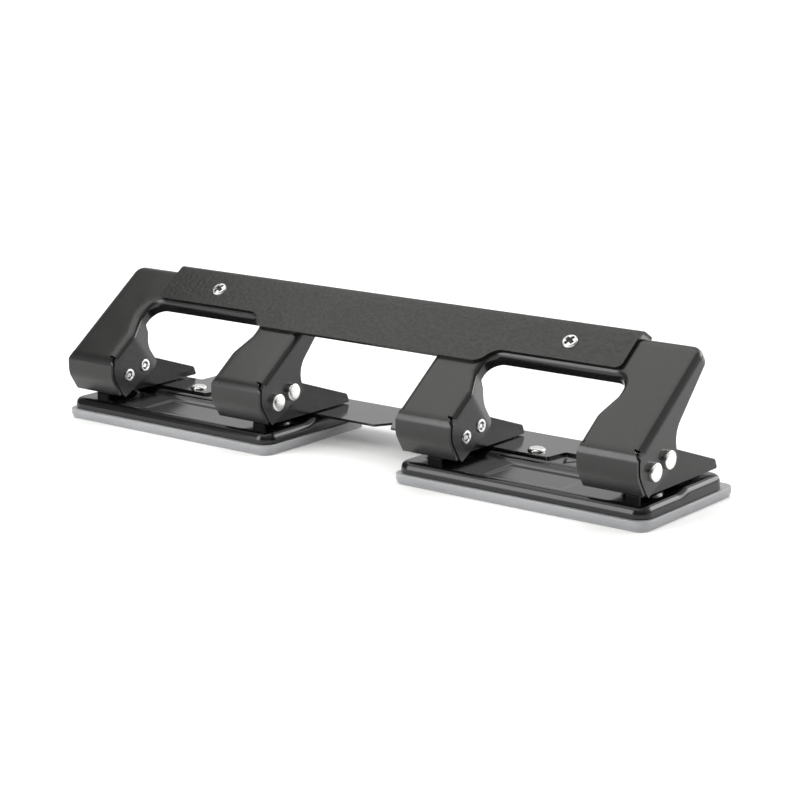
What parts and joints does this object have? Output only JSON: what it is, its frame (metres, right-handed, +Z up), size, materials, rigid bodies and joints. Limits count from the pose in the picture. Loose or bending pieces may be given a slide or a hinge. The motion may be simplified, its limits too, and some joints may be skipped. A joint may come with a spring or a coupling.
{
  "type": "four-hole paper punch",
  "caption": "Long desk paper punch: twin pressed lever presses joined by a folded tie bar over black pans with pale chip trays.",
  "frame": {"origin": "centre of the overall box at the resting face under the chip trays", "axes": "+X along the row of holes, to the right as the user sees it; +Y away from the user, towards the paper; +Z up"},
  "size_m": [0.263, 0.0598, 0.0567],
  "materials": {
    "satin_black": "satin",
    "gloss_black": "gloss",
    "bright_plate": "polished",
    "tool_steel": "satin",
    "tray_plastic": "translucent satin"
  },
  "bodies": {
    "punch_base": {"base_left": "gloss_black", "base_right": "gloss_black", "paper_table": "gloss_black", "table_rivets": "bright_plate", "punch_bracket_1": "satin_black", "punch_bracket_2": "satin_black", "punch_bracket_3": "satin_black", "punch_bracket_4": "satin_black", "return_spring_1": "tool_steel", "return_spring_2": "tool_steel", "return_spring_3": "tool_steel", "return_spring_4": "tool_steel"},
    "handle": {"lever_left": "satin_black", "lever_right": "satin_black", "tie_bar": "satin_black", "tie_screws": "bright_plate", "tie_nuts": "tool_steel", "pivot_pin_1": "bright_plate", "pivot_pin_2": "bright_plate", "pivot_pin_3": "bright_plate", "pivot_pin_4": "bright_plate", "drive_pin_1": "bright_plate", "drive_pin_2": "bright_plate", "drive_pin_3": "bright_plate", "drive_pin_4": "bright_plate"},
    "cutter_1_body": {"cutter_1": "tool_steel", "spring_clip_1": "tool_steel"},
    "cutter_2_body": {"cutter_2": "tool_steel", "spring_clip_2": "tool_steel"},
    "cutter_3_body": {"cutter_3": "tool_steel", "spring_clip_3": "tool_steel"},
    "cutter_4_body": {"cutter_4": "tool_steel", "spring_clip_4": "tool_steel"},
    "tray_left": {"chip_tray_left": "tray_plastic"},
    "tray_right": {"chip_tray_right": "tray_plastic"}
  },
  "joints": [
    {"name": "handle_press", "type": "hinge", "parent": "punch_base", "child": "handle", "pos_m": [0, -0.0207, 0.0187], "axis": [-1, 0, 0], "range_deg": [0, 28], "stiffness_Nm_per_rad": 1, "springref_deg": -20.05},
    {"name": "cutter_slide_1", "type": "slide", "parent": "punch_base", "child": "cutter_1_body", "axis": [0, 0, -1], "range_m": [0, 0.00432], "deforming": ["return_spring_1"]},
    {"name": "cutter_slide_2", "type": "slide", "parent": "punch_base", "child": "cutter_2_body", "axis": [0, 0, -1], "range_m": [0, 0.00432], "deforming": ["return_spring_2"]},
    {"name": "cutter_slide_3", "type": "slide", "parent": "punch_base", "child": "cutter_3_body", "axis": [0, 0, -1], "range_m": [0, 0.00432], "deforming": ["return_spring_3"]},
    {"name": "cutter_slide_4", "type": "slide", "parent": "punch_base", "child": "cutter_4_body", "axis": [0, 0, -1], "range_m": [0, 0.00432], "deforming": ["return_spring_4"]},
    {"name": "tray_left_pull", "type": "slide", "parent": "punch_base", "child": "tray_left", "axis": [0, 0, -1], "range_m": [0, 0.02]},
    {"name": "tray_right_pull", "type": "slide", "parent": "punch_base", "child": "tray_right", "axis": [0, 0, -1], "range_m": [0, 0.02]}
  ],
  "couplings": [
    {"joint": "cutter_slide_1", "follows": "handle_press", "m_per_rad": 0.00877},
    {"joint": "cutter_slide_2", "follows": "handle_press", "m_per_rad": 0.00877},
    {"joint": "cutter_slide_3", "follows": "handle_press", "m_per_rad": 0.00877},
    {"joint": "cutter_slide_4", "follows": "handle_press", "m_per_rad": 0.00877}
  ]
}
